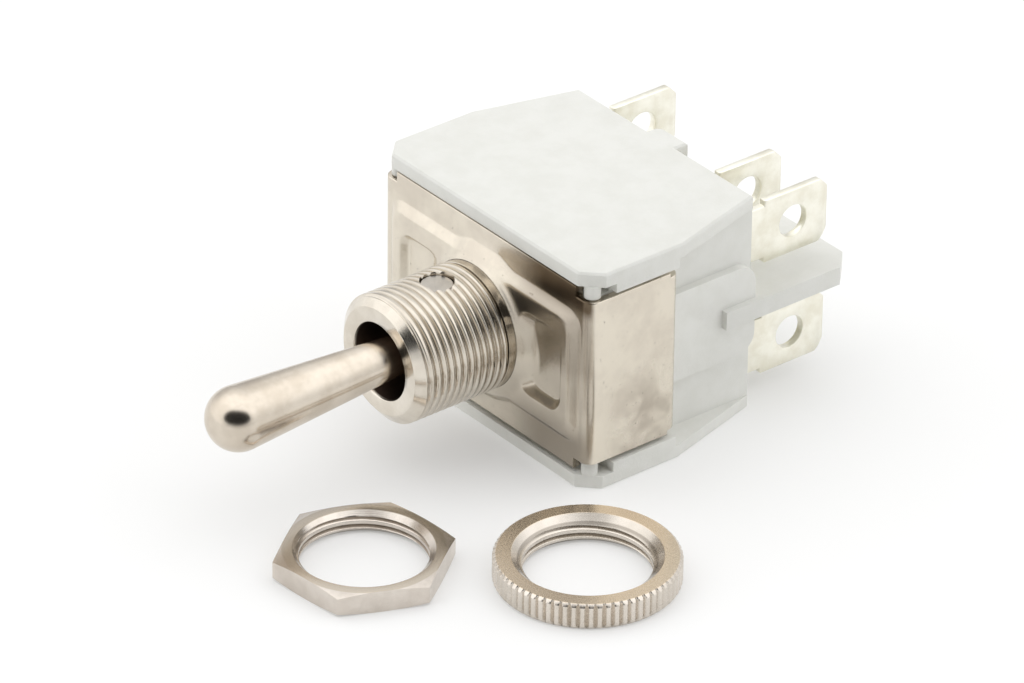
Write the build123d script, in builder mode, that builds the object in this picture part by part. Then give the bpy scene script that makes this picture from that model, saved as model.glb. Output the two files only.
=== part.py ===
from build123d import *
import math
import os

os.makedirs("parts", exist_ok=True)

# Toggle switch, double pole, centre off. The origin lies on the axis of the bushing, in the
# plane that a panel seats against. The lever points along -Y, the terminals along +Y, and Z
# is the axis that the lever swings about. All sizes are in millimetres.

# Bushing, a die casting with a threaded barrel and a rectangular base
thread_dia = 12.0
collar_dia = 11.6
barrel_length = 11.0
barrel_chamfer = 0.75
groove_width = 0.22
groove_depth = 0.3
groove_from_seat = (0.55, 1.35)
pin_hole_dia = 3.2
pin_hole_sink = 1.2
base_ledge = 1.0
base_height = 17.0
base_thick = 1.0
base_corner = 2.0

# Pivot
pivot_from_seat = 4.65
pin_dia = 3.0
swing = 13.0

# Lever
lever_reach = 26.3
tip_dia = 5.9
lever_half_taper = 3.9
tail_dia = 3.0
tail_end = 8.4

# Frame, a pressed steel cover
sheet = 0.8
bend_inside = 0.3
emboss = 0.7
panel_half_width = 13.1
panel_half_height = 6.5
panel_bulge = 7.7
panel_corner = 1.6
bulge_blend = 2.5
island_inside = 7.4
island_outside = 10.8
island_half_height = 3.3
island_corner = 0.9
front_corner_cut = 12.5
arm_notch_length = 1.2
arm_notch_height = 0.5
hook_reach = 1.6

# Case, one moulding
case_half_width = 14.75
case_half_height = 10.9
case_front = 0.5
case_rear = 21.0
taper_start = 10.85
front_chamfer = 1.75
lip = 1.35
pad = 2.3
pad_end = 10.5
flange_edge = 0.2
flange_reach = 2.75
side_wall = 1.0
band_rise = 0.75
band_half_height = 4.45
band_round = 1.9
barrier_half_width = 13.4
barrier_thick = 1.8
barrier_end = 32.2
barrier_chamfer = 1.9
lug_from = -2.5
lug_to = 1.45
lug_reach = 1.4
lug_round = 1.0
post_dia = 1.5
post_pocket = 1.9
cavity_wall = 0.55
cavity_floor = 17.35
mid_wall = 1.2
mid_wall_front = 10.4

# Terminals, 0.8 mm strip
strip = 0.8
blade = 6.3
blade_end = 30.9
blade_corner = 1.0
blade_bevel = 0.6
neck = 5.2
neck_end = 23.5
eye_dia = 3.1
eye_from_end = 4.1
common_x = 4.2
strip_bend = 0.3
outer_strip_end = 5.4

# Contacts
button_dia = 2.6
button_height = 0.7
button_x = 6.8

# Rocker bars
rocker_half_length = 8.4
rocker_thick = 1.2
rocker_width = 4.6
groove_in_rocker = 0.4

# Actuator and its plungers
actuator_front = 3.8
actuator_rear = 9.5
actuator_width = 6.0
actuator_height = 14.0
actuator_corner = 0.8
bore_floor = 4.8
plunger_z = 4.2
plunger_dia = 3.8
nose_dia = 2.4
nose_chamfer = 0.7
well_end = 9.4
plunger_tip = 12.5
plunger_shoulder = 10.2
plunger_back = 6.2
wire_half = 0.2
spring_outside = 2.3
spring_turns = 4

# Nuts
hex_flats = 14.0
hex_thick = 2.1
hex_place = (12.06, -21.97)
hex_turn = -24.13
ring_dia = 16.8
ring_thick = 2.5
ring_place = (25.0, -7.8)
knurls = 68
knurl_depth = 0.28
nut_chamfer = 0.6

# Clearances
seat_gap = 0.05
plate_gap = 0.35
arm_gap = 0.3
arm_inset = 0.2
terminal_gap = 0.15
rear_lip = 0.05
running = 0.05
thread_clearance = 0.4
nose_gap = 0.2
slot_gap = 0.05
plunger_running = 0.07
swing_gap = 0.13
hub_gap = 0.1
press = 0.01

# Places that follow from the sizes above
front_y = emboss
back_y = emboss + sheet
base_front = back_y
base_back = base_front + base_thick
wall_shift = sheet * math.tan(math.radians(22.5))
root_end = groove_from_seat[-1] + groove_width / 2
pivot_y = -pivot_from_seat
lip_inside = case_half_height - lip
front_half_height = lip_inside - plate_gap
arm_half_height = case_half_height - pad - arm_gap
arm_outside = case_half_width - arm_inset
core_half_width = arm_outside - sheet - seat_gap
wall_half_width = case_half_width - flange_reach
cavity_half_width = wall_half_width - side_wall
base_width = 2 * (cavity_half_width + base_ledge)
band_half_width = wall_half_width + band_rise
case_rear_half_width = wall_half_width + rear_lip
cavity_half_height = lip_inside - cavity_wall
terminal_z = cavity_half_height - terminal_gap - blade / 2
outer_x = cavity_half_width - terminal_gap - strip / 2
core_front = back_y + seat_gap
core_end = taper_start - sheet - seat_gap
bend_outside = bend_inside + sheet
rocker_front = plunger_tip + nose_gap
rocker_back = rocker_front + rocker_thick
fulcrum_radius = strip / 2
rocker_axis_y = rocker_back - groove_in_rocker + fulcrum_radius + running
well_radius = spring_outside / 2 + plunger_running
strip_y = cavity_floor - strip_bend - strip / 2
floor_z = -case_half_height


def save(part, name):
    """Label one finished piece and write it to its own file."""
    part.label = name
    export_step(part, f"parts/{name}.step")


# ---------------------------------------------------------------- lever
# Ball tip, a taper that narrows towards the pivot, a hub bored for the pin, and the tail.
slope = math.radians(lever_half_taper)
tip_radius = tip_dia / 2
tip_tangent = -lever_reach + tip_radius * math.sin(slope)
tangent_radius = tip_radius * math.cos(slope)
radius_at_pivot = tangent_radius - (pivot_y - tip_tangent) * math.tan(slope)
# the bore's mouth is as wide as the taper reaches at the end of its swing
limit = math.radians(swing)
mouth = barrel_length - pivot_from_seat
mouth_sweep = radius_at_pivot * math.cos(limit) + (
    mouth + radius_at_pivot * math.sin(limit)
) * math.tan(limit + slope)
bore_radius = mouth_sweep + swing_gap
hub_radius = bore_radius - hub_gap
# the hub's corners lie on a sphere about the pivot, so that it turns inside the bore
hub_flat = hub_radius * math.sin(math.radians(22.5))
hub_side = hub_radius * math.cos(math.radians(22.5))
hub_front = pivot_y - hub_side
neck_radius = tangent_radius - (hub_front - tip_tangent) * math.tan(slope)

with BuildPart() as lever:
    with BuildSketch(Plane.XY):
        with BuildLine():
            tip = (0, -lever_reach - tip_radius)
            tip_mid = (
                tip_radius * math.cos(math.radians(40)),
                -lever_reach - tip_radius * math.sin(math.radians(40)),
            )
            shoulder = (tangent_radius, tip_tangent)
            ThreePointArc(tip, tip_mid, shoulder)
            Polyline(
                shoulder,
                (neck_radius, hub_front),
                (hub_side, pivot_y - hub_flat),
                (hub_side, pivot_y + hub_flat),
                (hub_flat, pivot_y + hub_side),
                (tail_dia / 2, pivot_y + hub_side),
                (tail_dia / 2, tail_end),
                (0, tail_end),
                tip,
            )
        make_face()
    revolve(axis=Axis.Y)
    with BuildSketch(Plane.XY.offset(-hub_radius)):
        with Locations((0, pivot_y)):
            Circle(pin_dia / 2 + running)
    extrude(amount=2 * hub_radius, mode=Mode.SUBTRACT)
save(lever.part, "lever")

# ---------------------------------------------------------------- pivot pin
# Pressed across the barrel, with both ends below the bottom of the thread.
pin_half = thread_dia / 2 - pin_hole_sink
with BuildPart() as pivot_pin:
    with BuildSketch(Plane.XY.offset(-pin_half)):
        with Locations((0, pivot_y)):
            Circle(pin_dia / 2)
    extrude(amount=2 * pin_half)
    chamfer(pivot_pin.edges().filter_by(GeomType.CIRCLE), length=0.2)
save(pivot_pin.part, "pivot_pin")

# ---------------------------------------------------------------- bushing
# Barrel at the thread's outer diameter, two turned grooves in the collar at its root, and the
# base that the case clamps against the frame.
barrel_plane = Plane.XZ
with BuildPart() as bushing:
    with BuildSketch(barrel_plane.offset(-base_back)):
        RectangleRounded(base_width, base_height, base_corner)
    extrude(amount=base_thick)
    # plain collar at the barrel's root, a little under the size of the thread
    with BuildSketch(barrel_plane.offset(-base_front)):
        Circle(collar_dia / 2)
    extrude(amount=base_front + root_end)
    with BuildSketch(barrel_plane.offset(root_end)):
        Circle(thread_dia / 2)
    extrude(amount=barrel_length - root_end)
    front_rim = bushing.faces().sort_by(Axis.Y)[0].edges()
    chamfer(front_rim, length=barrel_chamfer)
    for distance in groove_from_seat:
        with BuildSketch(barrel_plane.offset(distance - groove_width / 2)):
            Circle(thread_dia / 2)
            Circle(collar_dia / 2 - groove_depth, mode=Mode.SUBTRACT)
        extrude(amount=groove_width, mode=Mode.SUBTRACT)
    with BuildSketch(barrel_plane.offset(-base_back)):
        Circle(bore_radius)
    extrude(amount=base_back + barrel_length, mode=Mode.SUBTRACT)
    with BuildSketch(Plane.XY.offset(-thread_dia)):
        with Locations((0, pivot_y)):
            Circle(pin_dia / 2 + press)
    extrude(amount=2 * thread_dia, mode=Mode.SUBTRACT)
    for side in (1, -1):
        with BuildSketch(Plane.XY.offset(side * pin_half)):
            with Locations((0, pivot_y)):
                Circle(pin_hole_dia / 2)
        extrude(amount=side * thread_dia, mode=Mode.SUBTRACT)
save(bushing.part, "bushing")


# ---------------------------------------------------------------- frame
def panel_outline(y, grow):
    """Outline of the raised panel at the height y, its sides moved outwards by grow."""
    with BuildSketch(Plane.XZ.offset(-y)) as outline:
        Rectangle(2 * (panel_half_width + grow), 2 * (panel_half_height + grow))
        fillet(outline.vertices(), radius=panel_corner + grow)
        Circle(panel_bulge + grow)
        inner = outline.vertices().group_by(lambda v: round(abs(v.X), 3))[0]
        fillet(inner, radius=bulge_blend - grow)
    return outline.sketch


def island_outline(y, grow, side):
    """Outline of the C-shaped sunk island beside the bushing, moved outwards by grow."""
    inside = island_inside - grow
    outside = island_outside + grow
    half = island_half_height + grow
    with BuildSketch(Plane.XZ.offset(-y)) as outline:
        with Locations((side * outside / 2, 0)):
            Rectangle(outside, 2 * half)
        outer = outline.vertices().group_by(lambda v: round(abs(v.X), 3))[-1]
        fillet(outer, radius=island_corner + grow)
        Circle(inside, mode=Mode.SUBTRACT)
    return outline.sketch


def between(low, high):
    """Solid with sloped walls between two like outlines."""
    return loft([low, high], ruled=True, mode=Mode.PRIVATE)


# The pressed walls slope at 45 degrees. Behind the sheet each is moved by wall_shift, so that
# it keeps its thickness.
raised = between(panel_outline(front_y, 0), panel_outline(0, -emboss))
hollow = between(
    panel_outline(back_y, -wall_shift), panel_outline(sheet, -emboss - wall_shift)
)
sunk = [
    between(island_outline(front_y, 0, side), island_outline(0, emboss, side))
    for side in (1, -1)
]
islands = [
    between(
        island_outline(back_y, wall_shift, side),
        island_outline(sheet, emboss + wall_shift, side),
    )
    for side in (1, -1)
]

with BuildPart() as frame:
    # front plate and arms, folded from one strip, with a hook at the end of each arm
    with BuildSketch(Plane.XY.offset(-arm_half_height)):
        with BuildLine():
            FilletPolyline(
                (-arm_outside + hook_reach, taper_start - sheet / 2),
                (-arm_outside + sheet / 2, taper_start - sheet / 2),
                (-arm_outside + sheet / 2, front_y + sheet / 2),
                (arm_outside - sheet / 2, front_y + sheet / 2),
                (arm_outside - sheet / 2, taper_start - sheet / 2),
                (arm_outside - hook_reach, taper_start - sheet / 2),
                radius=bend_inside + sheet / 2,
            )
        trace(line_width=sheet)
    extrude(amount=2 * arm_half_height)
    # the front plate stands higher than the arms
    with BuildSketch(Plane.XZ.offset(-back_y)):
        Rectangle(2 * front_corner_cut, 2 * front_half_height)
    extrude(amount=sheet)
    # rear corners of the arms are cut back
    for side in (1, -1):
        for end in (1, -1):
            with Locations((side * arm_outside, taper_start, end * arm_half_height)):
                Box(4 * hook_reach, 2 * arm_notch_length, 2 * arm_notch_height, mode=Mode.SUBTRACT)
    # raised panel with its two sunk islands
    add(raised)
    add(hollow - islands[0] - islands[1], mode=Mode.SUBTRACT)
    add(sunk, mode=Mode.SUBTRACT)
    # hole for the barrel
    with BuildSketch(Plane.XZ.offset(-back_y)):
        Circle(thread_dia / 2 + running)
    extrude(amount=2 * back_y, mode=Mode.SUBTRACT)
save(frame.part, "frame")


# ---------------------------------------------------------------- case
def flange_plan():
    """Plan of a flange: cut front corners, straight sides, then a taper to the rear."""
    right = [
        (case_half_width - front_chamfer, case_front),
        (case_half_width, case_front + front_chamfer),
        (case_half_width, taper_start),
        (case_rear_half_width, case_rear),
    ]
    left = [(-x, y) for x, y in reversed(right)]
    return right + left


with BuildPart() as case:
    for side in (1, -1):
        # flange, with the small lug at its rear edge
        with BuildSketch(Plane.XY.offset(side * lip_inside)):
            with BuildLine():
                Polyline(*flange_plan(), close=True)
            make_face()
        extrude(amount=side * lip)
        with BuildSketch(Plane.XY.offset(side * lip_inside)) as lug:
            with BuildLine():
                Polyline(
                    (lug_from, case_rear - lip),
                    (lug_from, case_rear + lug_reach),
                    (lug_to, case_rear + lug_reach),
                    (lug_to, case_rear - lip),
                    close=True,
                )
            make_face()
            fillet(lug.vertices().group_by(Axis.Y)[-1].sort_by(Axis.X)[0], radius=lug_round)
        extrude(amount=side * lip)
        outer_face = case.faces().filter_by(Axis.Z).sort_by(Axis.Z)[-1 if side > 0 else 0]
        chamfer(outer_face.edges(), length=flange_edge)
        # thick pads along the sides of the flange
        pad_z = side * (case_half_height - pad)
        for edge in (1, -1):
            with BuildSketch(Plane.XY.offset(pad_z)):
                with BuildLine():
                    Polyline(
                        (edge * wall_half_width, case_front + front_chamfer),
                        (edge * case_half_width, case_front + front_chamfer),
                        (edge * case_half_width, pad_end),
                        (edge * wall_half_width, pad_end),
                        close=True,
                    )
                make_face()
            extrude(amount=side * (pad - lip))
    # box between the flanges: wide under the arms, narrow behind them
    with BuildSketch(Plane.XY.offset(-lip_inside)) as core:
        with BuildLine():
            Polyline(
                (-core_half_width, core_front),
                (core_half_width, core_front),
                (core_half_width, core_end),
                (-core_half_width, core_end),
                close=True,
            )
        make_face()
        fillet(core.vertices(), radius=bend_inside)
    extrude(amount=2 * lip_inside)
    with BuildSketch(Plane.XZ.offset(-core_end)):
        Rectangle(2 * wall_half_width, 2 * lip_inside)
    extrude(amount=-(case_rear - core_end))
    # band along the middle of each side
    with BuildSketch(Plane.YZ.offset(-band_half_width)) as band:
        with BuildLine():
            Polyline(
                (core_end, -band_half_height),
                (case_rear, -band_half_height),
                (case_rear, band_half_height),
                (core_end, band_half_height),
                close=True,
            )
        make_face()
        fillet(band.vertices().group_by(Axis.X)[-1], radius=band_round)
    extrude(amount=2 * band_half_width)
    # barrier between the two poles
    with BuildSketch(Plane.XY.offset(-barrier_thick / 2)) as barrier:
        with BuildLine():
            Polyline(
                (-barrier_half_width, case_rear - 2 * band_round),
                (-barrier_half_width, barrier_end),
                (barrier_half_width, barrier_end),
                (barrier_half_width, case_rear - 2 * band_round),
                close=True,
            )
        make_face()
        chamfer(barrier.vertices().group_by(Axis.Y)[-1], length=barrier_chamfer)
    extrude(amount=barrier_thick)
    # in each cut corner of the frame a round post stands in a shallow pocket
    post_height = lip_inside - arm_half_height
    post_x = arm_outside - bend_outside
    post_y = front_y + bend_outside
    for side in (1, -1):
        for end in (1, -1):
            post_z = end * (arm_half_height + lip_inside) / 2
            with Locations((side * core_half_width, core_front, post_z)):
                Box(2 * post_pocket, 2 * post_pocket, post_height, mode=Mode.SUBTRACT)
            with Locations((side * post_x, post_y, post_z)):
                Cylinder(post_dia / 2, post_height)
    # cavity, open at the front, and the seat of the bushing's base
    with BuildSketch(Plane.XZ.offset(-back_y)):
        Rectangle(2 * cavity_half_width, 2 * cavity_half_height)
    extrude(amount=-(cavity_floor - back_y), mode=Mode.SUBTRACT)
    with BuildSketch(Plane.XZ.offset(-back_y)):
        Rectangle(base_width + 2 * seat_gap, base_height + 2 * seat_gap)
    extrude(amount=-(base_thick + seat_gap), mode=Mode.SUBTRACT)
    # wall between the two poles
    with BuildSketch(Plane.XZ.offset(-mid_wall_front)):
        Rectangle(2 * cavity_half_width, mid_wall)
    extrude(amount=-(cavity_floor - mid_wall_front))
    # slots for the terminals
    with BuildSketch(Plane.XZ.offset(-cavity_floor)):
        for x in (-outer_x, common_x, outer_x):
            with Locations((x, terminal_z), (x, -terminal_z)):
                Rectangle(strip + 2 * slot_gap, blade + 2 * slot_gap)
    extrude(amount=-(case_rear - cavity_floor), mode=Mode.SUBTRACT)
save(case.part, "case")


# ---------------------------------------------------------------- terminals
def terminal(path, side):
    """A strip bent along path in plan, with its blade, neck, eye and bevelled end."""
    blade_x = path[0][0]
    with BuildPart() as piece:
        with BuildSketch(Plane.XY.offset(side * terminal_z - blade / 2)):
            with BuildLine():
                FilletPolyline(*path, radius=strip_bend + strip / 2)
            trace(line_width=strip)
            # the free end is coined thinner, as a lead-in
            with BuildLine():
                Polyline(
                    (blade_x - strip / 2, blade_end - blade_bevel),
                    (blade_x - strip / 4, blade_end),
                    (blade_x + strip / 4, blade_end),
                    (blade_x + strip / 2, blade_end - blade_bevel),
                    close=True,
                )
            make_face()
        extrude(amount=blade)
        neck_length = neck_end - case_rear
        for edge in (1, -1):
            edge_z = side * terminal_z + edge * blade / 2
            with Locations((blade_x, case_rear + neck_length / 2, edge_z)):
                Box(2 * strip, neck_length, blade - neck, mode=Mode.SUBTRACT)
        with BuildSketch(Plane.YZ.offset(blade_x - strip)):
            with Locations((blade_end - eye_from_end, side * terminal_z)):
                Circle(eye_dia / 2)
        extrude(amount=2 * strip, mode=Mode.SUBTRACT)
        corners = piece.edges().filter_by(Axis.X).group_by(Axis.Y)[-1]
        chamfer(corners, length=blade_corner)
    return piece.part


def fixed_button(x, side):
    """Contact disc on the front of an outer terminal's strip."""
    with BuildPart() as piece:
        with BuildSketch(Plane.XZ.offset(-(strip_y - strip / 2))):
            with Locations((x, side * plunger_z)):
                Circle(button_dia / 2)
        extrude(amount=button_height)
    return piece.part


def rocker_button(x, side):
    """Contact disc on the back of the rocker bar."""
    with BuildPart() as piece:
        with BuildSketch(Plane.XZ.offset(-rocker_back)):
            with Locations((x, side * plunger_z)):
                Circle(button_dia / 2)
        extrude(amount=-button_height)
    return piece.part


for level, side in (("upper", 1), ("lower", -1)):
    for hand, sign in (("left", -1), ("right", 1)):
        outer_path = [
            (sign * outer_x, blade_end - blade_bevel),
            (sign * outer_x, strip_y),
            (sign * outer_strip_end, strip_y),
        ]
        save(terminal(outer_path, side), f"terminal_{hand}_{level}")
        save(fixed_button(sign * button_x, side), f"fixed_button_{hand}_{level}")
        save(rocker_button(sign * button_x, side), f"rocker_button_{hand}_{level}")
    common_path = [
        (common_x, blade_end - blade_bevel),
        (common_x, strip_y),
        (0, strip_y),
        (0, rocker_axis_y),
    ]
    common = terminal(common_path, side)
    with BuildPart() as common_terminal:
        add(common)
        # rounded knife edge that the rocker bar rocks on
        with BuildSketch(Plane.XY.offset(side * terminal_z - blade / 2)):
            with Locations((0, rocker_axis_y)):
                Circle(fulcrum_radius)
        extrude(amount=blade)
    save(common_terminal.part, f"terminal_common_{level}")

    # ------------------------------------------------------------ rocker bar
    with BuildPart() as rocker:
        with BuildSketch(Plane.XZ.offset(-rocker_back)):
            with Locations((0, side * plunger_z)):
                SlotOverall(2 * rocker_half_length, rocker_width)
        extrude(amount=rocker_thick)
        with BuildSketch(Plane.XY.offset(side * plunger_z - rocker_width)):
            with Locations((0, rocker_axis_y)):
                Circle(fulcrum_radius + running)
        extrude(amount=2 * rocker_width, mode=Mode.SUBTRACT)
    save(rocker.part, f"rocker_{level}")

    # ------------------------------------------------------------ plunger
    plunger_plane = Plane((0, 0, side * plunger_z))
    with BuildPart() as plunger:
        with BuildSketch(plunger_plane):
            with BuildLine():
                nose = nose_dia / 2
                Polyline(
                    (well_radius, plunger_back),
                    (plunger_dia / 2, plunger_back),
                    (plunger_dia / 2, plunger_shoulder),
                    (nose, plunger_shoulder),
                    (nose, plunger_tip - nose_chamfer),
                    (nose - nose_chamfer, plunger_tip),
                    (0, plunger_tip),
                    (0, well_end),
                    (well_radius, well_end),
                    close=True,
                )
            make_face()
        revolve(axis=Axis((0, 0, side * plunger_z), (0, 1, 0)))
    save(plunger.part, f"plunger_{level}")

    # ------------------------------------------------------------ spring
    # square wire, between the actuator's blind bore and the plunger's well
    spring_length = well_end - bore_floor - 2 * wire_half - 2 * seat_gap
    coil_radius = spring_outside / 2 - wire_half
    spring_start = bore_floor + seat_gap + wire_half
    with BuildPart() as spring:
        with BuildLine():
            wire = Helix(
                pitch=spring_length / spring_turns,
                height=spring_length,
                radius=coil_radius,
                center=(0, spring_start, side * plunger_z),
                direction=(0, 1, 0),
            )
        with BuildSketch(Plane(origin=wire @ 0, z_dir=wire % 0)):
            RegularPolygon(wire_half, 4)
        sweep()
    save(spring.part, f"spring_{level}")

# ---------------------------------------------------------------- actuator
# Moulded carrier on the lever's tail, with one blind bore for each plunger.
with BuildPart() as actuator:
    with BuildSketch(Plane.XZ.offset(-actuator_front)):
        RectangleRounded(actuator_width, actuator_height, actuator_corner)
    extrude(amount=-(actuator_rear - actuator_front))
    with BuildSketch(Plane.XZ.offset(-actuator_front)):
        Circle(tail_dia / 2 + seat_gap)
    extrude(amount=-(tail_end + seat_gap - actuator_front), mode=Mode.SUBTRACT)
    with BuildSketch(Plane.XZ.offset(-actuator_rear)):
        with Locations((0, plunger_z), (0, -plunger_z)):
            Circle(plunger_dia / 2 + plunger_running)
    extrude(amount=actuator_rear - bore_floor, mode=Mode.SUBTRACT)
save(actuator.part, "actuator")

# ---------------------------------------------------------------- nuts
# Both lie beside the switch, on the surface that the case lies on.
nut_bore = thread_dia - 2 * thread_clearance
with BuildPart() as hex_nut:
    with BuildSketch(Plane.XY.offset(floor_z)):
        with Locations(hex_place):
            RegularPolygon(hex_flats / 2, 6, major_radius=False, rotation=hex_turn)
    extrude(amount=hex_thick)
    # turned chamfers take the six corners off, above and below
    corner_radius = hex_flats / 2 / math.cos(math.radians(30))
    with BuildSketch(Plane(origin=(*hex_place, floor_z), x_dir=(1, 0, 0), z_dir=(0, -1, 0))):
        with BuildLine():
            corner_drop = (corner_radius - hex_flats / 2) * math.tan(math.radians(28))
            Polyline(
                (0, 0),
                (hex_flats / 2, 0),
                (corner_radius, corner_drop),
                (corner_radius, hex_thick - corner_drop),
                (hex_flats / 2, hex_thick),
                (0, hex_thick),
                close=True,
            )
        make_face()
    revolve(axis=Axis((*hex_place, 0), (0, 0, 1)), mode=Mode.INTERSECT)
    with Locations((*hex_place, floor_z + hex_thick / 2)):
        Hole(nut_bore / 2)
    mouths = hex_nut.edges().filter_by(GeomType.CIRCLE).group_by(SortBy.RADIUS)[0]
    chamfer(mouths, length=nut_chamfer)
save(hex_nut.part, "hex_nut")

with BuildPart() as knurled_nut:
    with BuildSketch(Plane.XY.offset(floor_z)):
        with Locations(ring_place):
            Circle(ring_dia / 2)
            with PolarLocations(ring_dia / 2, knurls):
                RegularPolygon(knurl_depth, 4, mode=Mode.SUBTRACT)
            Circle(nut_bore / 2, mode=Mode.SUBTRACT)
    extrude(amount=ring_thick)
    mouths = knurled_nut.edges().filter_by(GeomType.CIRCLE).sort_by(SortBy.LENGTH)[-2:]
    chamfer(mouths, length=nut_chamfer)
save(knurled_nut.part, "knurled_nut")
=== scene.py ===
import math

import bmesh
import bpy
import numpy as np
from mathutils import Matrix, Vector


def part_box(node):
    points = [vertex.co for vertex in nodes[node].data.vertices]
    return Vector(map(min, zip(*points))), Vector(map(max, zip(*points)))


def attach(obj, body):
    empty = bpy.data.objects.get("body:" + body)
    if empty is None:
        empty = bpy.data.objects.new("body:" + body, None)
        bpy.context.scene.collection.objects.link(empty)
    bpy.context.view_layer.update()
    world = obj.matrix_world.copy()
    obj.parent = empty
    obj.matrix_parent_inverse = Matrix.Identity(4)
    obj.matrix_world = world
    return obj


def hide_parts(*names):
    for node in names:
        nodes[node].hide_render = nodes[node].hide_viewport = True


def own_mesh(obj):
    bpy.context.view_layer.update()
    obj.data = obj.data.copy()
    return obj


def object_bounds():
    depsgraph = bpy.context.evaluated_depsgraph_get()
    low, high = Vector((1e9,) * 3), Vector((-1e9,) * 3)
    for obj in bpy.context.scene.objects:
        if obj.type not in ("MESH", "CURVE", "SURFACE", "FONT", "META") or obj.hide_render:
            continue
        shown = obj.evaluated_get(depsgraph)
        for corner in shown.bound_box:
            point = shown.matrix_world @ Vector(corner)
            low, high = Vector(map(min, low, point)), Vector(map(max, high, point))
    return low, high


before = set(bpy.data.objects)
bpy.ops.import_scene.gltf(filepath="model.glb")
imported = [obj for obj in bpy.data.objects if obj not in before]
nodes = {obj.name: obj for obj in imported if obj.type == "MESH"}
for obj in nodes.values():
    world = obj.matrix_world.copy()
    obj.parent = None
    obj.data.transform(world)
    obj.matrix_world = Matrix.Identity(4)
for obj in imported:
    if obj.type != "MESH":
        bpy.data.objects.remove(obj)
cad_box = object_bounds()
mm = 0.001


# ---------------------------------------------------------------- bench, lights and camera
# The switch and its two nuts lie on a white bench inside a light tent. White cloth all round
# is what the metal mirrors, brighter overhead, with a dark opening on the camera's side.
class Value:
    """An output socket of a finish. Arithmetic on it adds Math nodes, so that an expression on
    values reads as it would in Python."""

    def __init__(self, finish, socket):
        self.finish = finish
        self.socket = socket

    def maths(self, operation, *values):
        return self.finish.node("ShaderNodeMath", {"operation": operation}, *values)

    def __add__(self, other):
        return self.maths("ADD", self, other)

    def __radd__(self, other):
        return self.maths("ADD", other, self)

    def __sub__(self, other):
        return self.maths("SUBTRACT", self, other)

    def __rsub__(self, other):
        return self.maths("SUBTRACT", other, self)

    def __mul__(self, other):
        return self.maths("MULTIPLY", self, other)

    def __rmul__(self, other):
        return self.maths("MULTIPLY", other, self)

    def __truediv__(self, other):
        return self.maths("DIVIDE", self, other)

    def __pow__(self, other):
        return self.maths("POWER", self, other)

    def __abs__(self):
        return self.maths("ABSOLUTE", self)

    def most(self, other):
        return self.maths("MAXIMUM", self, other)

    def step(self, start, end):
        """0 before start, 1 past end, and smooth between them."""
        settings = {"interpolation_type": "SMOOTHSTEP"}
        return self.finish.node("ShaderNodeMapRange", settings, self, start, end)


class Finish:
    """The nodes of one material, or of the world."""

    def __init__(self, name, tree=None):
        if tree is None:
            self.material = bpy.data.materials.new(name)
            self.material.use_nodes = True
            tree = self.material.node_tree
        self.tree = tree
        self.tree.nodes.clear()

    def node(self, kind, settings=None, *values, links=None, out=0):
        """Adds a node: its settings first, then the values or links of its sockets, in order or
        by name."""
        made = self.tree.nodes.new(kind)
        for key, value in (settings or {}).items():
            setattr(made, key, value)
        for key, value in [*enumerate(values), *(links or {}).items()]:
            if isinstance(value, Value):
                self.tree.links.new(value.socket, made.inputs[key])
            else:
                made.inputs[key].default_value = value
        return Value(self, made.outputs[out]) if made.outputs else None

    def place(self, centre=(0, 0, 0), stretch=(1, 1, 1)):
        """Object coordinates in millimetres from a centre, stretched."""
        here = self.node("ShaderNodeTexCoord", out=3)
        shift = {"operation": "SUBTRACT"}
        centred = self.node("ShaderNodeVectorMath", shift, here, [c * mm for c in centre])
        scale = [part / mm for part in stretch]
        return self.node("ShaderNodeMapping", {}, centred, links={"Scale": scale})

    def split(self, vector):
        """The three numbers of a vector."""
        parts = self.node("ShaderNodeSeparateXYZ", {}, vector).socket.node
        return [Value(self, socket) for socket in parts.outputs]

    def join(self, x, y, z):
        return self.node("ShaderNodeCombineXYZ", {}, x, y, z)

    def noise(self, vector, scale, detail=3.0, rough=0.5, distort=0.0):
        links = {"Scale": scale, "Detail": detail, "Roughness": rough, "Distortion": distort}
        return self.node("ShaderNodeTexNoise", {}, vector, links=links)

    def mix(self, factor, first, second):
        """A colour between two colours."""
        settings = {"data_type": "RGBA"}
        return self.node("ShaderNodeMix", settings, links={0: factor, 6: first, 7: second}, out=2)

    def bump(self, height, distance):
        """A normal tilted by a height, where a height of 1 stands distance metres proud."""
        links = {"Height": height, "Distance": distance, "Strength": 1.0}
        return self.node("ShaderNodeBump", {}, links=links)

    def surface(self, links):
        """Closes the finish with a Principled shader."""
        shader = self.node("ShaderNodeBsdfPrincipled", {}, links=links)
        self.node("ShaderNodeOutputMaterial", {}, shader)
        return self.material


def shade(red, green, blue):
    """A colour given as it looks on a screen, 0 to 255, as the linear colour that light uses."""
    channels = np.array([red, green, blue]) / 255
    linear = np.where(channels <= 0.04045, channels / 12.92, ((channels + 0.055) / 1.055) ** 2.4)
    return (*linear.tolist(), 1.0)


bench_z = cad_box[0].z
bench_reach = 3.0
bench = bpy.data.objects.new("bench", bpy.data.meshes.new("bench"))
bpy.context.collection.objects.link(bench)
bench_signs = ((-1, -1), (1, -1), (1, 1), (-1, 1))
bench_corners = [(x * bench_reach, y * bench_reach, bench_z) for x, y in bench_signs]
bench.data.from_pydata(bench_corners, [], [(0, 1, 2, 3)])
paper = Finish("white_paper")
bench.data.materials.append(
    paper.surface(
        {
            "Base Color": shade(209, 209, 209),
            "Roughness": 0.7,
            "Specular IOR Level": 0.1,
            "Emission Color": (1.0, 1.0, 0.985, 1.0),
            "Emission Strength": 0.3,
        }
    )
)


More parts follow.
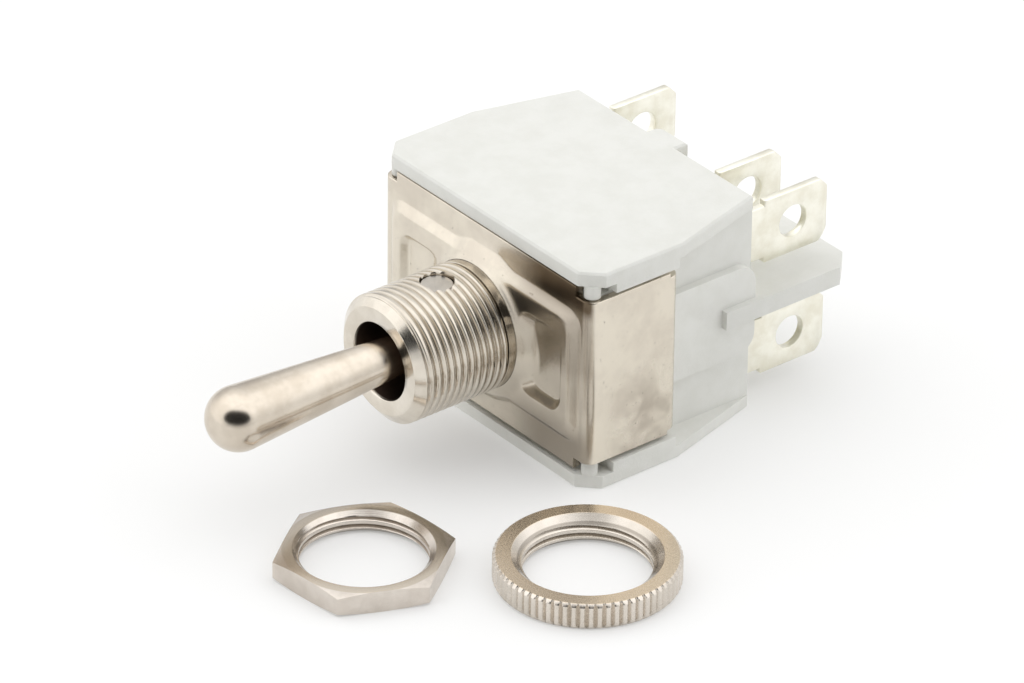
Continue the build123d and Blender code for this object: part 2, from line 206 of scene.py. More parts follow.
lamp_place = Vector((-0.35, 0.1, 0.95))
softbox = bpy.data.lights.new("roof", "AREA")
softbox.shape = "RECTANGLE"
softbox.size = softbox.size_y = 1.4
softbox.energy = 0.5
lamp = bpy.data.objects.new("roof", softbox)
bpy.context.collection.objects.link(lamp)
lamp.location = lamp_place
lamp.rotation_euler = (-lamp_place).to_track_quat("-Z", "Y").to_euler()

# The cloth's light changes in soft steps along three directions: height, front, which points
# from the switch to the camera's side, and side, a quarter turn from it. The opening is an
# ellipse in the front cloth.
world = bpy.data.worlds.new("tent")
world.use_nodes = True
bpy.context.scene.world = world
tent = Finish("tent", world.node_tree)
east, north, height = tent.split(tent.node("ShaderNodeTexCoord", out=0))
side = 0.63 * east + 0.777 * north
front = 0.777 * east - 0.63 * north
roof = height.step(0.1, 0.7)
horizon = 0.6 + 0.45 * abs(side) ** 1.5 + 0.3 * (-1.0 * side).step(0.5, 0.9)
upper = 1.52 - 0.5 * (-1.0 * front).step(0.3, 0.75)
across = (side / front.most(0.05) + 0.1) / 1.35
over = (height - 0.48) / 0.37
opening = (1.0 - (across * across + over * over).step(0.7, 1.15)) * front.step(0.0, 0.2)
cloth_light = (horizon + roof * (upper - horizon)) * (1.0 - 0.985 * opening)
cloth = tent.node("ShaderNodeBackground", {}, (1, 1, 1, 1), cloth_light)
tent.node("ShaderNodeOutputWorld", {}, cloth)
bpy.context.scene.view_settings.view_transform = "Standard"

azimuth, elevation, roll = math.radians(50.946), math.radians(31.086), math.radians(0.691)
lens_place = Vector((461.97, -370.97, 355.23)) * mm
towards = Vector(
    (
        math.sin(azimuth) * math.cos(elevation),
        -math.cos(azimuth) * math.cos(elevation),
        math.sin(elevation),
    )
)
level = Vector((math.cos(azimuth), math.sin(azimuth), 0))
upright = towards.cross(level)
lens_right = level * math.cos(roll) + upright * math.sin(roll)
lens_up = upright * math.cos(roll) - level * math.sin(roll)
camera_data = bpy.data.cameras.new("camera")
camera_data.lens = 277.1
camera_data.sensor_width = 36.0
camera_data.clip_end = 10.0
camera = bpy.data.objects.new("camera", camera_data)
bpy.context.collection.objects.link(camera)
lens_turn = Matrix((lens_right, lens_up, towards)).transposed().to_4x4()
camera.matrix_world = Matrix.Translation(lens_place) @ lens_turn
bpy.context.scene.camera = camera


# ---------------------------------------------------------------- bushing
# A zinc casting, bright nickel plated: a barrel with a cut 0.75 mm thread, a turned groove and
# a plain collar at its root, and a rectangular base that the frame clamps to the case.
def grid_piece(name, points, ring=False):
    """A piece from a grid of points in millimetres, one face between each four neighbours. With
    ring, the last row joins the first. Points that meet at a seam or a pole are merged."""
    rows, columns = points.shape[:2]
    row, column = np.meshgrid(
        np.arange(rows if ring else rows - 1), np.arange(columns - 1), indexing="ij"
    )
    under = (row + 1) % rows
    corners = [row * columns + column, row * columns + column + 1]
    corners += [under * columns + column + 1, under * columns + column]
    faces = np.stack(corners, axis=-1).reshape(-1, 4)
    mesh = bpy.data.meshes.new(name)
    mesh.from_pydata(points.reshape(-1, 3) * mm, [], faces)
    clean = bmesh.new()
    clean.from_mesh(mesh)
    bmesh.ops.remove_doubles(clean, verts=clean.verts, dist=0.0005 * mm)
    bmesh.ops.recalc_face_normals(clean, faces=clean.faces)
    clean.to_mesh(mesh)
    clean.free()
    piece = bpy.data.objects.new(name, mesh)
    bpy.context.collection.objects.link(piece)
    return piece


def drilled(piece, *cutters):
    """The piece with each cutter taken out of it, and the cutters deleted."""
    for cutter in cutters:
        cut = piece.modifiers.new(cutter.name, "BOOLEAN")
        cut.operation = "DIFFERENCE"
        cut.solver = "EXACT"
        cut.object = cutter
    graph = bpy.context.evaluated_depsgraph_get()
    mesh = bpy.data.meshes.new_from_object(piece.evaluated_get(graph))
    piece.modifiers.clear()
    piece.data = mesh
    for cutter in cutters:
        bpy.data.objects.remove(cutter)
    return piece


def shaded(piece, crease):
    """Smooth shading, with edges sharper than crease degrees left sharp."""
    piece.data.shade_smooth()
    piece.data.set_sharp_from_angle(angle=math.radians(crease))
    return piece


def turned(name, profile, axis, centre=(0, 0, 0), around=96):
    """A piece turned on a lathe: profile holds places along the axis and radii, in
    millimetres, and each point of it is carried round the axis through the centre."""
    along, radius = np.array(profile, dtype=float).T[:, :, None]
    angle = np.linspace(0, 2 * np.pi, around + 1)[None, :]
    first, second = radius * np.cos(angle), radius * np.sin(angle)
    along = np.broadcast_to(along, first.shape)
    order = {"y": (first, along, second), "z": (first, second, along)}[axis]
    return grid_piece(name, np.stack(order, axis=-1) + np.array(centre))


def thread_side(turn):
    """How far a thread stands over its root, 0 to 1, at a place counted in turns: a broad crest
    at whole turns, slightly crowned, and a narrow root at half turns. Over the flank it is
    3s^2 - 2s^3, with s the share of the flank climbed."""
    side = np.abs(2 * (turn % 1) - 1)
    root, crest = 0.05, 0.36
    climb = np.clip((side - root) / (1 - root - crest), 0, 1)
    return climb**2 * (3 - 2 * climb) * (0.92 + 0.08 * side)


pitch = 0.75
thread_depth = 0.27
flank_rows = np.array([0.1, 0.17, 0.21, 0.25, 0.30, 0.36, 0.42, 0.465])
thread_rows = np.concatenate([[0, 0.5], flank_rows, 1 - flank_rows])
thread_rows.sort()


def helix_rows(start, end, around):
    """Places along the axis of a thread's rows: each row climbs one pitch per turn, so that it
    keeps to one line of the thread, and stops at the thread's start and end."""
    turns = np.arange(math.floor(start / pitch) - 2, math.ceil(end / pitch) + 1)
    lines = (turns[:, None] + thread_rows[None, :]).ravel()
    share = np.linspace(0, 1, around + 1)
    return np.clip((lines[:, None] + share[None, :]) * pitch, start, end), share[None, :]


thread_radius = 6.0
collar_radius, collar_end = 5.94, -1.21
groove_radius, groove_start, thread_start = 5.66, -1.26, -1.46
barrel_front = -11.0
face_radius = 5.05
chamfer_length = 0.77
base_half_width, base_half_height = 12.0, 8.5
base_back, base_front = 2.5, 1.5
pivot_y = -4.65
bore_radius = 3.64
around = 240


def rounded_plate(half_width, half_height, share):
    """Distance from the middle to the edge of a plate with round corners: a superellipse."""
    across, up = np.cos(2 * np.pi * share), np.sin(2 * np.pi * share)
    return (np.abs(across / half_width) ** 14 + np.abs(up / half_height) ** 14) ** (-1 / 14)


thread_y, share = helix_rows(-thread_start, -barrel_front, around)
thread_r = thread_radius - thread_depth * (1 - thread_side(thread_y / pitch - share))
chamfer_slope = (thread_radius - face_radius) / chamfer_length
thread_r = np.minimum(thread_r, face_radius + (-barrel_front - thread_y) * chamfer_slope)

edge = rounded_plate(base_half_width, base_half_height, share)
root_profile = [
    (base_back, bore_radius),
    (base_back, edge),
    (base_front, edge),
    (base_front, collar_radius),
    (collar_end, collar_radius),
    (collar_end - 0.03, collar_radius - 0.04),
    (groove_start, groove_radius),
    (thread_start, groove_radius),
]
front_profile = [
    (barrel_front, face_radius - 0.05),
    (barrel_front, bore_radius + 0.06),
    (barrel_front + 0.06, bore_radius),
    (base_back, bore_radius),
]


def barrel_rows(profile):
    """Rows of y and radius, each constant round the barrel or given for every place round it."""
    ys = np.array([np.full(around + 1, y) for y, _ in profile])
    radii = np.array([np.broadcast_to(radius, (1, around + 1))[0] for _, radius in profile])
    return ys, radii


root_y, root_r = barrel_rows(root_profile)
front_y, front_r = barrel_rows(front_profile)
barrel_y = np.concatenate([root_y, -thread_y, front_y])
barrel_r = np.concatenate([root_r, thread_r, front_r])
angle = 2 * np.pi * share
barrel = np.stack([barrel_r * np.cos(angle), barrel_y, barrel_r * np.sin(angle)], axis=-1)
bushing = grid_piece("threaded_bushing", barrel)
pin_hole = 1.56
hole_bottom = 5.2
holes = [
    turned(
        f"pin_hole_{end}",
        [(end * hole_bottom, 0), (end * hole_bottom, pin_hole), (end * 7, pin_hole), (end * 7, 0)],
        "z",
        (0, pivot_y, 0),
        64,
    )
    for end in (1, -1)
]
shaded(drilled(bushing, *holes), 50)


# Colours of painted shade: in the barrel's bore, over its thread, and in the nut threads' roots.
bore_shade = shade(58, 47, 40)
thread_shade = shade(122, 110, 94)
nut_root_shade = shade(104, 94, 82)


def bright_metal(name, dark, light, roughness, centre=(0, 0, 0), marks=None, bore=None, top=None):
    """Plated or polished metal: two close colours in soft clouds, fine grain, and turning marks
    that ring the axis where marks is "y" or "z". With bore, the barrel: within that radius the
    metal is painted dark as shade inside the bore, and painted shade darkens the thread a little
    and its roots more. With top, a nut: painted shade in the thread's roots too, and the height of
    its turned top face, which gets a painted tone of its own, set apart from its sides."""
    metal = Finish(name)
    spot = metal.place(centre)
    clouds = metal.noise(spot, 0.35, 4.0, 0.6)
    grain = metal.noise(spot, 9.0, 3.0, 0.6)
    colour = metal.mix(clouds.step(0.35, 0.65), dark, light)
    height = grain * 0.3
    if marks:
        x, y, z = metal.split(spot)
        out = x * x + (z * z if marks == "y" else y * y)
        radius = out**0.5
        ring = metal.join(radius, y if marks == "y" else z, 0.0)
        height = height + metal.noise(ring, 7.0, 4.0, 0.7)
    if bore:
        # painted shade: the bore's wall is painted near black, for the shade that falls inside the
        # bore
        mouth = y.step(barrel_front + 0.01, barrel_front + 0.4)
        inside = (1.0 - radius.step(bore, bore + 0.02)) * mouth
        colour = metal.mix(inside, colour, bore_shade)
        # painted shade: the thread is darkened a little all over, and more in its roots
        threads = radius.step(5.2, 5.4) * y.step(barrel_front + 0.7, barrel_front + 0.9)
        roots = threads * (1.0 - radius.step(5.70, 5.96))
        colour = metal.mix(0.15 * threads + 0.4 * roots, colour, thread_shade)
        roughness = roughness + 0.25 * inside
    if top:
        top_z, painted_top_tone = top
        # painted shade in the roots of the nut's thread
        deep = 1.0 - z.step(top_z - 0.6, top_z - 0.45)
        roots = radius.step(5.75, 5.95) * (1.0 - radius.step(6.05, 6.15)) * deep
        colour = metal.mix(0.5 * roots, colour, nut_root_shade)
        # painted tone: the turned top face gets a colour of its own, apart from the sides, for how
        # light falls on it
        colour = metal.mix(z.step(top_z - 0.06, top_z - 0.02), colour, painted_top_tone)
    normal = metal.bump(height, 0.004 * mm)
    return metal.surface(
        {
            "Base Color": colour,
            "Metallic": 1.0,
            "Roughness": roughness + 0.05 * (grain - 0.5),
            "Normal": normal,
        }
    )


barrel_colours = shade(214, 206, 193), shade(226, 219, 207)
barrel_nickel = bright_metal(
    "barrel_nickel", *barrel_colours, 0.16, marks="y", bore=bore_radius
)
bushing.data.materials.append(barrel_nickel)
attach(bushing, "root")
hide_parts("bushing")

# ---------------------------------------------------------------- lever and its pin
# The bat lever is turned from brass and bright nickel plated, with a ball tip and a taper that
# narrows towards the pivot. A steel pin through the barrel carries it.
bat_colours = shade(203, 192, 177), shade(215, 205, 191)
bat_nickel = bright_metal("bat_nickel", *bat_colours, 0.2, marks="y")
ball_radius, ball_y = 2.95, -26.3
taper = math.radians(3.9)
ball_turn = np.linspace(0, math.pi / 2 + taper, 33)
hub_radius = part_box("lever")[1].x / mm
hub_half = 1.3
tail_radius, tail_end = 1.5, 8.4
neck_y = -8.6
neck_radius = ball_radius * math.cos(taper) - (
    neck_y - ball_y - ball_radius * math.sin(taper)
) * math.tan(taper)
bat_profile = [
    *zip(ball_y - ball_radius * np.cos(ball_turn), ball_radius * np.sin(ball_turn)),
    (neck_y, neck_radius),
    (neck_y + 0.4, neck_radius + 0.2),
    (pivot_y - hub_half, hub_radius),
    (pivot_y + hub_half, hub_radius),
    (pivot_y + 3.2, tail_radius + 0.1),
    (tail_end, tail_radius),
    (tail_end, 0.0),
]
bat = shaded(turned("bat_lever", bat_profile, "y", around=128), 40)
bat.data.materials.append(bat_nickel)
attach(bat, "lever")
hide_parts("lever")

pin_steel = bright_metal("pin_steel", shade(196, 190, 182), shade(212, 206, 198), 0.3)
pin_end, pin_radius, pin_chamfer = 5.58, 1.49, 0.1
pin_profile = [
    (-pin_end, 0),
    (-pin_end, pin_radius - pin_chamfer),
    (-pin_end + pin_chamfer, pin_radius),
    (pin_end - pin_chamfer, pin_radius),
    (pin_end, pin_radius - pin_chamfer),
    (pin_end, 0),
]
pin = shaded(turned("pivot_pin_steel", pin_profile, "z", (0, pivot_y, 0), 64), 40)
pin.data.materials.append(pin_steel)
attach(pin, "root")
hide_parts("pivot_pin")


# ---------------------------------------------------------------- frame
# One strip of 0.8 mm steel, pressed and folded round the case, nickel plated: a raised panel
# with two sunk C-shaped islands beside the bushing, two arms, and a hook at the end of each.
def rounder_max(first, second, blend):
    """Larger of two fields, with the crease between them rounded over the width blend."""
    near = np.maximum(blend - np.abs(first - second), 0) / blend
    return np.maximum(first, second) + near**2 * blend / 4


def rounder_min(first, second, blend):
    return -rounder_max(-first, -second, blend)


def from_box(x, z, half_width, half_height, corner):
    """Distance outwards from a rectangle with round corners, less than 0 inside it."""
    over_x, over_z = np.abs(x) - half_width + corner, np.abs(z) - half_height + corner
    outside = np.hypot(np.maximum(over_x, 0), np.maximum(over_z, 0))
    return outside + np.minimum(np.maximum(over_x, over_z), 0) - corner


sheet = 0.8
emboss = 0.7
panel_half_width, panel_half_height, panel_corner = 13.2, 6.7, 1.8
panel_slope, bulge_radius = 0.75, 7.6
island_half_width, island_half_height, island_corner = 10.7, 3.45, 0.9
island_inside, island_cusp = 7.15, 2.0
collar_rise, collar_slope, collar_foot = 0.5, 0.88, 7.35


def pressed(x, z, shift, top_round, foot_round):
    """How far the sheet stands proud of the flat strip: a slope of 3 in 4 up to the raised
    panel, one of 1 in 1 down again into the islands, and the drawn collar round the barrel,
    with the upper and lower bends rounded off. shift moves every foot outwards."""
    radius = np.hypot(x, z)
    panel = rounder_max(
        np.abs(x) - panel_half_width, np.abs(z) - panel_half_height, panel_corner
    )
    panel = panel_slope * (rounder_min(panel, radius - bulge_radius, 0.4) + shift)
    raised = rounder_min(rounder_max(-panel, 0.0, foot_round), emboss, top_round)
    island = from_box(x, z, island_half_width, island_half_height, island_corner)
    island = rounder_max(island, island_inside - radius, island_cusp) - shift
    kept = rounder_min(rounder_max(island, 0.0, foot_round), emboss, 0.4 * top_round)
    collar = collar_slope * (collar_foot - shift - radius)
    collar = rounder_min(collar, emboss + collar_rise, 0.1)
    return rounder_max(rounder_min(raised, kept, 0.1), collar, 0.5)


arm_outside = 14.55
bend = 1.1
arm_end = 10.85
hook_end = arm_outside - 1.6
corner_cut = 12.5
notch_y = 9.65
front_half_height, arm_half_height, hook_half_height = 9.2, 8.2, 7.8
quarter = np.linspace(0, np.pi / 2, 9)
flat_x = np.linspace(0, arm_outside - bend, 109)
flat_x = np.sort(np.append(flat_x, [corner_cut - 0.01, corner_cut + 0.01]))
arm_y = np.array([1.8, 2.6, 4.0, 5.5, 7.0, 8.5, 9.3, 9.60, notch_y - 0.01, notch_y + 0.01])
corner_y, hook_y = emboss + bend, arm_end - bend
strip_lines = [
    np.stack([flat_x, np.full_like(flat_x, emboss), 0 * flat_x, -1 + 0 * flat_x], axis=-1),
    np.stack(
        [
            arm_outside - bend + bend * np.sin(quarter),
            corner_y - bend * np.cos(quarter),
            np.sin(quarter),
            -np.cos(quarter),
        ],
        axis=-1,
    )[1:],
    np.stack([np.full_like(arm_y, arm_outside), arm_y, 1 + 0 * arm_y, 0 * arm_y], axis=-1)[1:],
    np.stack(
        [
            arm_outside - bend + bend * np.cos(quarter),
            hook_y + bend * np.sin(quarter),
            np.cos(quarter),
            np.sin(quarter),
        ],
        axis=-1,
    ),
    np.array([[hook_end, arm_end, 0, 1]]),
]
right_half = np.concatenate(strip_lines)
left_half = right_half[:0:-1] * np.array([-1, 1, -1, 1])
strip_line = np.concatenate([left_half, right_half])
line_x, line_y, out_x, out_y = strip_line.T
half_height = np.where(np.abs(line_x) < corner_cut, front_half_height, arm_half_height)
half_height = np.where(line_y > notch_y, hook_half_height, half_height)

inner_z = np.linspace(-7.5, 7.5, 121)
edge_round = 0.12


def across_strip(reach):
    """Places across the strip at every point of its line: a fixed even grid in the middle, and
    the last line of each side at reach, where the rounding of the edge starts."""
    middle = np.broadcast_to(inner_z, (len(strip_line), len(inner_z)))
    return np.concatenate([-reach[:, None], middle, reach[:, None]], axis=1)


outer_z = across_strip(half_height - edge_round)
edge_turn = np.linspace(0, np.pi, 7)[1:-1]
edge_z = half_height[:, None] - edge_round + edge_round * np.sin(edge_turn)[None, :]
edge_in = np.where(edge_turn <= np.pi / 2 + 0.01, 0.0, sheet - 2 * edge_round)
edge_in = edge_in + edge_round * (1 - np.cos(edge_turn))
section_z = np.concatenate([outer_z, edge_z, outer_z[:, ::-1], -edge_z[:, ::-1]], axis=1)
flat_in = np.concatenate(
    [np.zeros(outer_z.shape[1]), edge_in, np.full(outer_z.shape[1], sheet), edge_in[::-1]]
)
flat_in = np.broadcast_to(flat_in, section_z.shape)
grid_x = np.broadcast_to(line_x[:, None], section_z.shape)
on_plate = out_y[:, None] < -0.999
proud_outer = pressed(grid_x, section_z, 0.0, 0.22, 0.08)
proud_inner = pressed(grid_x, section_z, 0.33, 0.2, 0.35)
proud = np.where(flat_in < sheet / 2, proud_outer, proud_inner) * on_plate
inwards = flat_in - proud
strip_points = np.stack(
    [
        grid_x - out_x[:, None] * inwards,
        line_y[:, None] - out_y[:, None] * inwards,
        section_z,
    ],
    axis=-1,
)
# each end of the strip is closed by folding its outline on to the middle line of its thickness
closed_ends = strip_points[[0, -1]]
closed_ends[..., :2] = closed_ends[..., :2].mean(axis=1, keepdims=True)
strip_points = np.concatenate([closed_ends[:1], strip_points, closed_ends[1:]])
strip_points = np.concatenate([strip_points, strip_points[:, :1]], axis=1)
cover = grid_piece("pressed_frame", strip_points)
hole_radius = 5.97
hole_profile = [(-2, 0), (-2, hole_radius), (3, hole_radius), (3, 0)]
shaded(drilled(cover, turned("barrel_hole", hole_profile, "y", around=160)), 40)


def sheet_nickel():
    """Nickel plated strip: warm grey, satin, with cloudy stains low on the right arm, brown
    tarnish mixed with painted dark reflection on the right of the front, most towards its edges,
    and small specks."""
    metal = Finish("sheet_nickel")
    spot = metal.place()
    x, y, z = metal.split(spot)
    clouds = metal.noise(spot, 0.22, 4.0, 0.6)
    grain = metal.noise(spot, 11.0, 3.0, 0.6)
    specks = metal.noise(spot, 3.2, 2.0, 0.5).step(0.70, 0.76)
    colour = metal.mix(clouds.step(0.35, 0.65), shade(210, 201, 187), shade(223, 215, 200))
    stain = metal.noise(spot, 0.35, 2.0, 0.5, 0.3).step(0.35, 0.65)
    low = (-1.0 * z).step(-2.0, 5.0) * x.step(14.0, 14.4) * y.step(2.0, 6.0)
    colour = metal.mix(stain * low * 0.4, colour, shade(128, 115, 101))
    # tarnish mixed with painted dark reflection: the right of the front is painted brown, most
    # near its top and bottom edges
    top_edge, bottom_edge = z.step(6.0, 7.6), (-1.0 * z).step(3.5, 7.0)
    reflection_and_tarnish_weight = 0.2 + 0.6 * top_edge + 0.4 * bottom_edge + 0.25 * z.step(-0.5, 1.5)
    front_right = x.step(1.5, 8.5) * (1.0 - y.step(0.9, 1.4))
    tarnish_and_dark_reflection = front_right * reflection_and_tarnish_weight * (0.7 + 0.6 * clouds)
    colour = metal.mix(tarnish_and_dark_reflection, colour, shade(104, 91, 75))
    colour = metal.mix(specks * 0.5, colour, shade(110, 98, 86))
    normal = metal.bump(grain + 3.0 * metal.noise(spot, 1.2, 2.0, 0.5), 0.003 * mm)
    return metal.surface(
        {
            "Base Color": colour,
            "Metallic": 1.0,
            "Roughness": 0.26 + 0.06 * (grain - 0.5) + 0.12 * stain * low,
            "Normal": normal,
        }
    )


cover.data.materials.append(sheet_nickel())
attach(cover, "root")
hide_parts("frame")


# ---------------------------------------------------------------- case
# One moulding in light grey glass-filled plastic: two flanges with thick pads, the box between
# them, and the barrier between the two poles. Every edge has the small radius of a mould.
def softened(name, node, radius):
    """A copy of a solid with its flat faces joined up again and its edges rounded off."""
    mesh = nodes[node].data.copy()
    mesh.materials.clear()
    clean = bmesh.new()
    clean.from_mesh(mesh)
    bmesh.ops.remove_doubles(clean, verts=clean.verts, dist=0.001 * mm)
    bmesh.ops.dissolve_limit(
        clean, angle_limit=math.radians(0.5), verts=clean.verts, edges=clean.edges
    )
    clean.to_mesh(mesh)
    clean.free()
    piece = bpy.data.objects.new(name, mesh)
    bpy.context.collection.objects.link(piece)
    rounding = piece.modifiers.new("rounding", "BEVEL")
    rounding.width = radius * mm
    rounding.segments = 2
    rounding.limit_method = "ANGLE"
    rounding.angle_limit = math.radians(30)
    graph = bpy.context.evaluated_depsgraph_get()
    piece.data = bpy.data.meshes.new_from_object(piece.evaluated_get(graph))
    piece.modifiers.clear()
    return shaded(piece, 32)


def moulded_plastic():
    """Light grey moulded plastic, a little cooler in its mottling, with a fine eggshell grain."""
    plastic = Finish("moulded_plastic")
    spot = plastic.place()
    mottle = plastic.noise(spot, 0.4, 5.0, 0.65)
    grain = plastic.noise(spot, 6.0, 3.0, 0.6)
    colour = plastic.mix(mottle.step(0.3, 0.7), shade(223, 223, 217), shade(228, 228, 223))
    normal = plastic.bump(grain, 0.02 * mm)
    return plastic.surface(
        {
            "Base Color": colour,
            "Roughness": 0.48 + 0.15 * (grain - 0.5),
            "Normal": normal,
            "Subsurface Weight": 0.1,
            "Subsurface Radius": (0.001, 0.001, 0.001),
        }
    )


case = softened("case_moulding", "case", 0.12)
case.data.materials.append(moulded_plastic())
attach(case, "root")
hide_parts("case")


# ---------------------------------------------------------------- terminals
# Six tabs stamped from 0.8 mm brass strip and silver plated, each with an eye, cut corners and
# a shouldered neck where it passes through the case.
def silver_plate():
    """Silver plate: pale cream, satin, with faint rolling marks along the strip."""
    metal = Finish("silver_plate")
    spot = metal.place()
    grain = metal.noise(spot, 8.0, 3.0, 0.6)
    rolled = metal.noise(metal.place(stretch=(1, 0.15, 1)), 5.0, 3.0, 0.6)
    clouds = metal.noise(spot, 0.5, 4.0, 0.6)
    colour = metal.mix(clouds.step(0.3, 0.7), shade(236, 232, 216), shade(250, 248, 236))
    return metal.surface(
        {
            "Base Color": colour,
            "Metallic": 1.0,
            "Roughness": 0.34 + 0.15 * (rolled - 0.5),
            "Normal": metal.bump(grain + rolled, 0.01 * mm),
        }
    )


silver = silver_plate()
for hand in ("left", "common", "right"):
    for level_name in ("upper", "lower"):
        tab = softened(f"tab_{hand}_{level_name}", f"terminal_{hand}_{level_name}", 0.13)
        tab.data.materials.append(silver)
        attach(tab, "root")
        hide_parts(f"terminal_{hand}_{level_name}")

# ---------------------------------------------------------------- mechanism
# Out of sight in the case: a brown phenolic carrier pressed on the lever's tail, two acetal
# plungers on coil springs, two copper rocker bars, and the silver buttons of the contacts.
def moulding(name, dark, light, roughness):
    """A moulded insulator, mottled between two colours, with a faint grain."""
    plastic = Finish(name)
    spot = plastic.place()
    mottle = plastic.noise(spot, 0.8, 4.0, 0.6)
    grain = plastic.noise(spot, 6.0, 3.0, 0.6)
    return plastic.surface(
        {
            "Base Color": plastic.mix(mottle.step(0.3, 0.7), dark, light),
            "Roughness": roughness + 0.1 * (grain - 0.5),
            "Normal": plastic.bump(grain, 0.01 * mm),
        }
    )


hidden_finishes = {
    "actuator": moulding("phenolic", shade(78, 62, 50), shade(92, 74, 60), 0.5),
    "plunger": moulding("acetal", shade(228, 227, 219), shade(237, 236, 230), 0.35),
    "rocker": bright_metal("copper_alloy", shade(196, 140, 106), shade(214, 158, 122), 0.32),
    "button": bright_metal("contact_silver", shade(216, 212, 205), shade(233, 230, 224), 0.25),
}
for name, node in nodes.items():
    kind = next((word for word in ("button", *hidden_finishes) if word in name), "button")
    node.material_slots[0].material = hidden_finishes[kind]


def coil_spring(name, low, high, wire, turns):
    """Round wire carried along a helix between two corners of a box. The climb is slower at both
    ends, s - sin(2 pi s) / 14 with s the share of the wire's length, so that the end coils lie
    close. A point closes each end."""
    share = np.linspace(0, 1, 48 * turns + 1)
    share = np.concatenate([[0.0], share, [1.0]])[:, None]
    thick = np.full_like(share, wire)
    thick[[0, -1]] = 0.0
    round_wire = np.linspace(0, 2 * np.pi, 17)[None, :]
    climb = share - np.sin(2 * np.pi * share) / 14
    angle = 2 * np.pi * turns * share
    middle = (low + high) / 2
    radius = (high.x - low.x) / 2 - wire + thick * np.cos(round_wire)
    y = low.y + wire + (high.y - low.y - 2 * wire) * climb + thick * np.sin(round_wire)
    x, z = middle.x + radius * np.cos(angle), middle.z + radius * np.sin(angle)
    return shaded(grid_piece(name, np.stack([x, y, z], axis=-1)), 40)


spring_steel = bright_metal("spring_steel", shade(150, 148, 146), shade(172, 170, 167), 0.3)
wire_radius, coils = 0.2, 4
for level_name in ("upper", "lower"):
    spring_low, spring_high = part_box(f"spring_{level_name}")
    spring = coil_spring(
        f"coil_spring_{level_name}", spring_low / mm, spring_high / mm, wire_radius, coils
    )
    spring.data.materials.append(spring_steel)
    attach(spring, "lever")
    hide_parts(f"spring_{level_name}")
    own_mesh(spring)


# ---------------------------------------------------------------- nuts
# Both are turned from brass bar and nickel plated, with the barrel's thread cut through them:
# a thin hexagon nut with its corners turned off, and a thin ring nut with a straight knurl.
nut_thread_depth = 0.36
under_mouth = 6.1
lead = 0.12


def nut(name, node, outer, rim, around, mouth, start):
    """A threaded ring: rows up through the thread, out over the top from the mouth of the bore,
    down the outside, and in along the underside. Both mouths are cones of 45 degrees. outer
    gives shares of the rim's cut and the outside's radius there, rim how deep the cut is at
    each place round, and start how high the thread's first turn lies."""
    low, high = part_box(node)
    centre = ((low + high) / mm / 2).to_tuple()
    half = (high.z - low.z) / mm / 2
    share = np.linspace(0, 1, around + 1)[None, :]
    thread_z, _ = helix_rows(lead - half - start, half - lead - start, around)
    root = 1 - thread_side(thread_z / pitch - share)
    thread_r = thread_radius - nut_thread_depth + nut_thread_depth * root
    thread_z = thread_z + start
    cone = np.where(thread_z > 0, mouth, under_mouth) - (half - np.abs(thread_z))
    thread_r = np.maximum(thread_r, cone)
    cut = rim(share)
    flat = np.full_like(share, half)
    edges = [(flat - fall * cut, reach) for fall, reach in outer(share)]
    top = [(flat - lead, mouth - lead + 0 * share), (flat, mouth + 0 * share), *edges]
    bottom = [(-z, reach) for z, reach in reversed(edges)]
    bottom += [(-flat, under_mouth + 0 * share), (lead - flat, under_mouth - lead + 0 * share)]
    z_rows = np.concatenate([thread_z] + [z for z, _ in top + bottom])
    r_rows = np.concatenate([thread_r] + [radius for _, radius in top + bottom])
    angle = 2 * np.pi * share
    points = np.stack([r_rows * np.cos(angle), r_rows * np.sin(angle), z_rows], axis=-1)
    piece = grid_piece(name, points + np.array(centre), ring=True)
    return shaded(piece, 24), centre


half_flats = 7.0
hex_turn = math.radians(-24.13)
rim_start = half_flats - 0.05
rim_slope = math.tan(math.radians(14))
hex_top = 1.05


def hexagon(share):
    """Radius of a hexagon round its middle: half the width over flats, over the cosine of the
    angle from the nearest flat."""
    sixth = np.pi / 3
    from_flat = (2 * np.pi * share + sixth / 2) % sixth - sixth / 2
    return half_flats / np.cos(from_flat)


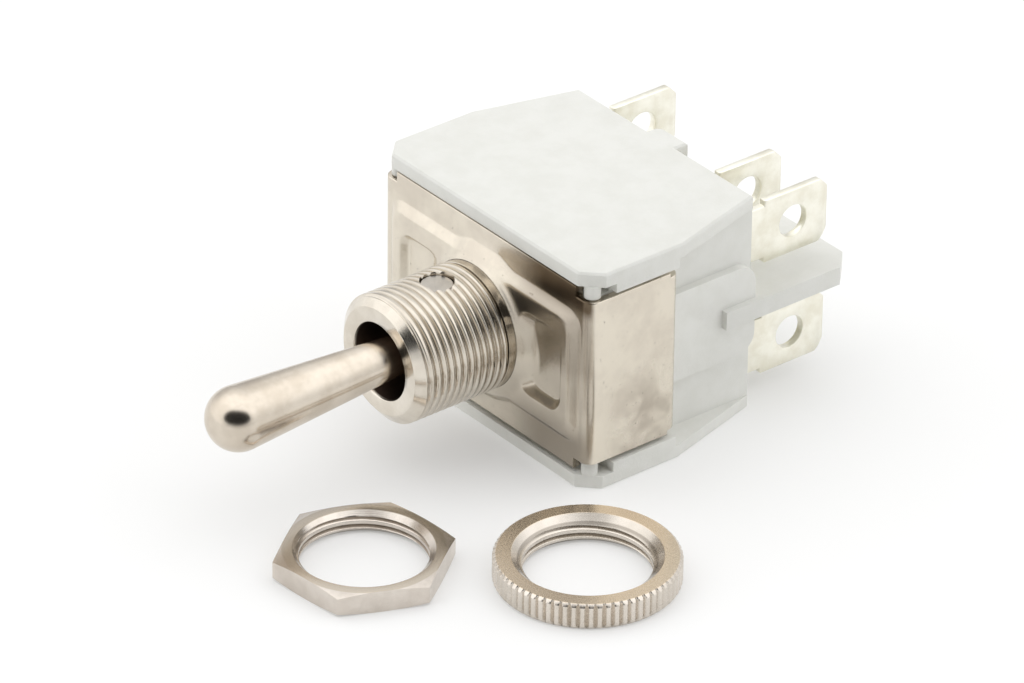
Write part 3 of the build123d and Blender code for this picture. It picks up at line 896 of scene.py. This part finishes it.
def hex_outside(share):
    """The rim's cut starts in from the flats, and is a cone out to the corners."""
    return [(0.0, np.full_like(share, rim_start)), (1.0, hexagon(share))]


def hex_rim(share):
    """The cone's slope times its width."""
    return (hexagon(share) - rim_start) * rim_slope


hex_nut, hex_centre = nut("hexagon_nut", "hex_nut", hex_outside, hex_rim, 240, 6.2, -0.28)
turned_round = Matrix.Translation(Vector(hex_centre) * mm) @ Matrix.Rotation(hex_turn, 4, "Z")
hex_nut.data.transform(turned_round @ Matrix.Translation(-Vector(hex_centre) * mm))
hex_colours = shade(207, 198, 188), shade(220, 212, 203)
# painted tone of the hexagon nut's top face, darker than its sides
hex_painted_top = (hex_top, shade(197, 187, 173))
nut_nickel = bright_metal("nut_nickel", *hex_colours, 0.24, hex_centre, "z", top=hex_painted_top)
hex_nut.data.materials.append(nut_nickel)
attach(hex_nut, "root")
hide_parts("hex_nut")

ring_radius = 8.2
ribs = 68
rib_depth = 0.3
ring_chamfer = 0.3
groove_half = 0.42
ring_top = 1.25


def knurl(share):
    """Radius of the knurled outside: the ring's, less the rib's depth times the square root of
    how deep a place lies in the narrow groove between two ribs."""
    across = np.abs((share * ribs) % 1 - 0.5) * 2
    groove = np.clip((groove_half - across) / groove_half, 0, 1)
    return ring_radius - rib_depth * np.sqrt(groove)


def ring_outside(share):
    """A chamfer in two flats takes the edge off the ribs."""
    radius = knurl(share)
    return [
        (0.0, np.minimum(radius, ring_radius - ring_chamfer)),
        (0.5, np.minimum(radius, ring_radius - 0.4 * ring_chamfer)),
        (1.0, radius),
    ]


def ring_rim(share):
    """The same depth all round."""
    return np.full_like(share, ring_chamfer)


ring_nut, ring_centre = nut(
    "knurled_ring_nut", "knurled_nut", ring_outside, ring_rim, ribs * 10, 6.62, 0.38
)
ring_colours = shade(208, 200, 189), shade(221, 213, 203)
# painted tone of the ring nut's top face, warmer than its sides
ring_painted_top = (ring_top, shade(221, 207, 188))
ring_nickel = bright_metal("ring_nickel", *ring_colours, 0.27, ring_centre, "z", top=ring_painted_top)
ring_nut.data.materials.append(ring_nickel)
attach(ring_nut, "root")
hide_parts("knurled_nut")
